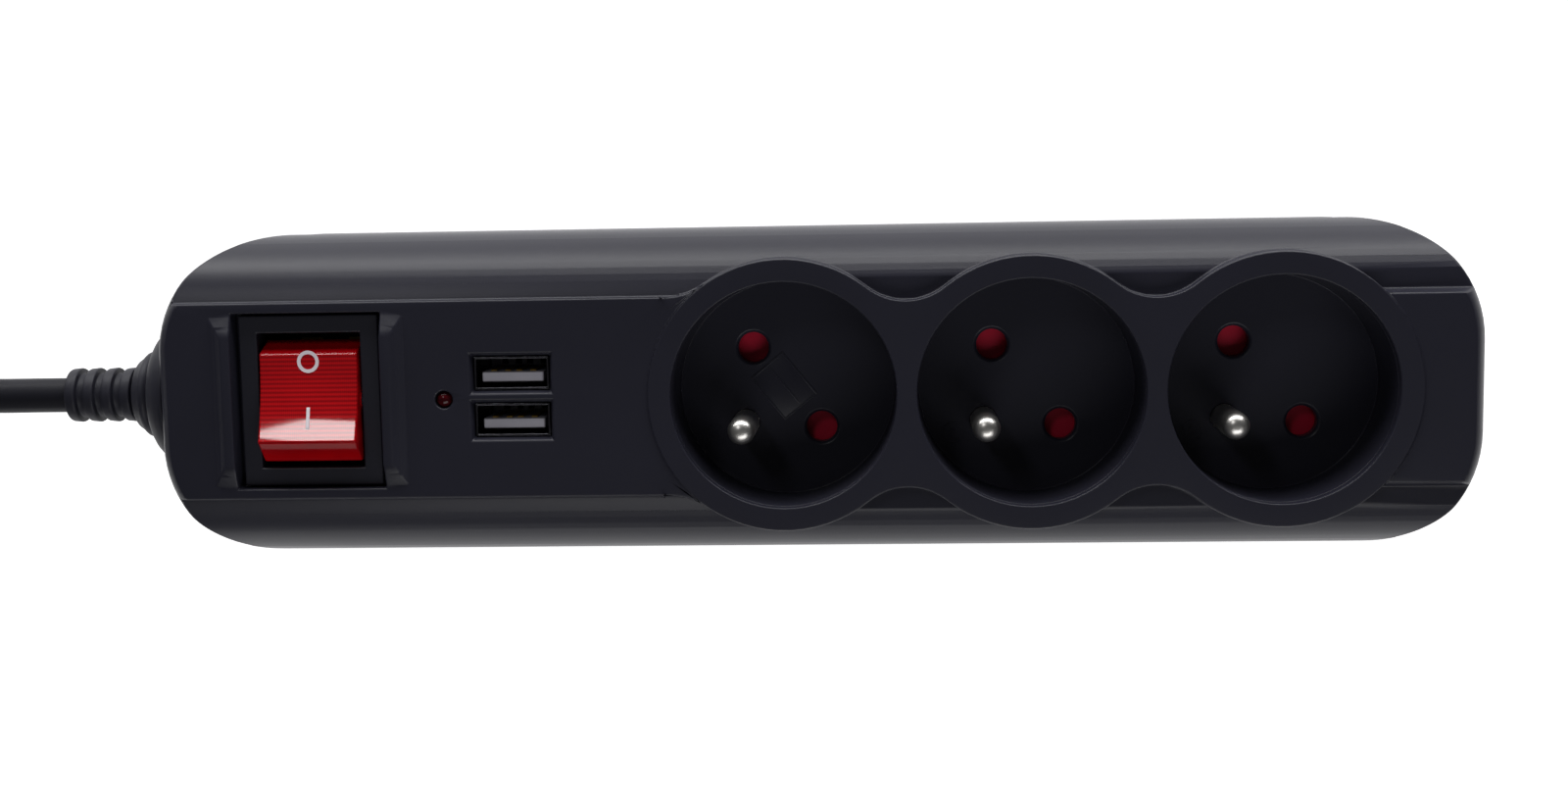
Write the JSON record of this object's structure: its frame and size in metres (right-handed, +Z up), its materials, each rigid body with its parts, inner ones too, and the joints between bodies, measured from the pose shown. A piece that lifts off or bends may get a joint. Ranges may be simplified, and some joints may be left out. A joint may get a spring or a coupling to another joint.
{
  "type": "power strip",
  "caption": "Slim extension block with round recessed outlets, a lit rocker switch, charging ports, a captive cord in a tied hank and its plug.",
  "frame": {"origin": "middle of the body's footprint, on the surface that the strip stands on", "axes": "+X along the strip, away from the cord; +Y across it; +Z up, out of the socket face"},
  "size_m": [0.498, 0.0588, 0.0439],
  "materials": {
    "charcoal_cover": "fine moulded grain, satin",
    "black_plastic": "fine moulded grain",
    "black_rubber": "soft matt",
    "tie": "woven hook and loop",
    "red_lamp": "clear red, glossy",
    "red_plastic": "moulded",
    "nylon": "moulded",
    "nickel": "nickel plated",
    "brass": "stamped",
    "spring_steel": "drawn wire",
    "screw_steel": "zinc plated",
    "board_green": "solder mask",
    "lamp_glass": "clear glass",
    "wire_brown": "extruded",
    "wire_blue": "extruded",
    "wire_green_yellow": "extruded"
  },
  "bodies": {
    "strip": {"top_cover": "charcoal_cover", "base_cover": "charcoal_cover", "socket_insert_1": "charcoal_cover", "socket_insert_2": "charcoal_cover", "socket_insert_3": "charcoal_cover", "shutter_cage_1": "nylon", "shutter_cage_2": "nylon", "shutter_cage_3": "nylon", "shutter_spring_1": "spring_steel", "shutter_spring_2": "spring_steel", "shutter_spring_3": "spring_steel", "earth_pin_1": "nickel", "earth_pin_2": "nickel", "earth_pin_3": "nickel", "live_busbar": "brass", "neutral_busbar": "brass", "earth_busbar": "brass", "contact_tray": "nylon", "switch_housing": "black_plastic", "switch_terminals": "brass", "switch_lamp": "lamp_glass", "usb_board": "board_green", "usb_shell_upper": "nickel", "usb_shell_lower": "nickel", "usb_tongues": "black_plastic", "usb_contacts": "brass", "usb_transformer": "black_plastic", "usb_capacitors": "black_plastic", "led_indicator": "red_lamp", "board_screws": "screw_steel", "cable_gland": "black_rubber", "strain_relief": "black_rubber", "cord_clamp": "nylon", "clamp_screws": "screw_steel", "case_screws": "screw_steel", "wire_live_in": "wire_brown", "wire_neutral_in": "wire_blue", "wire_earth": "wire_green_yellow", "wire_live_out": "wire_brown", "wire_neutral_out": "wire_blue", "power_cord": "black_rubber", "cord_hank": "black_rubber", "cord_tail": "black_rubber", "cord_tie": "tie", "plug_body": "black_plastic", "plug_pins": "nickel", "plug_earth_clips": "nickel", "plug_relief": "black_rubber"},
    "rocker": {"switch_rocker": "red_lamp", "switch_plungers": "nylon"},
    "blades": {"switch_blades": "brass"},
    "shutter_plate_1": {"shutter_1": "red_plastic"},
    "shutter_plate_2": {"shutter_2": "red_plastic"},
    "shutter_plate_3": {"shutter_3": "red_plastic"}
  },
  "joints": [
    {"name": "rocker_tilt", "type": "hinge", "parent": "strip", "child": "rocker", "pos_m": [-0.0885, 0, 0.0365], "axis": [1, 0, 0], "range_deg": [0, 22]},
    {"name": "blade_rock", "type": "hinge", "parent": "strip", "child": "blades", "pos_m": [-0.0885, 0, 0.0245], "axis": [1, 0, 0], "range_deg": [-12, 0]},
    {"name": "shutter_turn_1", "type": "hinge", "parent": "strip", "child": "shutter_plate_1", "pos_m": [-0.0045, 0, 0.0208], "axis": [0, 0, 1], "range_deg": [0, 40], "stiffness_Nm_per_rad": 0.001, "springref_deg": -11.46},
    {"name": "shutter_turn_2", "type": "hinge", "parent": "strip", "child": "shutter_plate_2", "pos_m": [0.0385, 0, 0.0208], "axis": [0, 0, 1], "range_deg": [0, 40], "stiffness_Nm_per_rad": 0.001, "springref_deg": -11.46},
    {"name": "shutter_turn_3", "type": "hinge", "parent": "strip", "child": "shutter_plate_3", "pos_m": [0.0815, 0, 0.0208], "axis": [0, 0, 1], "range_deg": [0, 40], "stiffness_Nm_per_rad": 0.001, "springref_deg": -11.46}
  ],
  "couplings": [
    {"joint": "blade_rock", "follows": "rocker_tilt", "ratio": -0.54545}
  ]
}
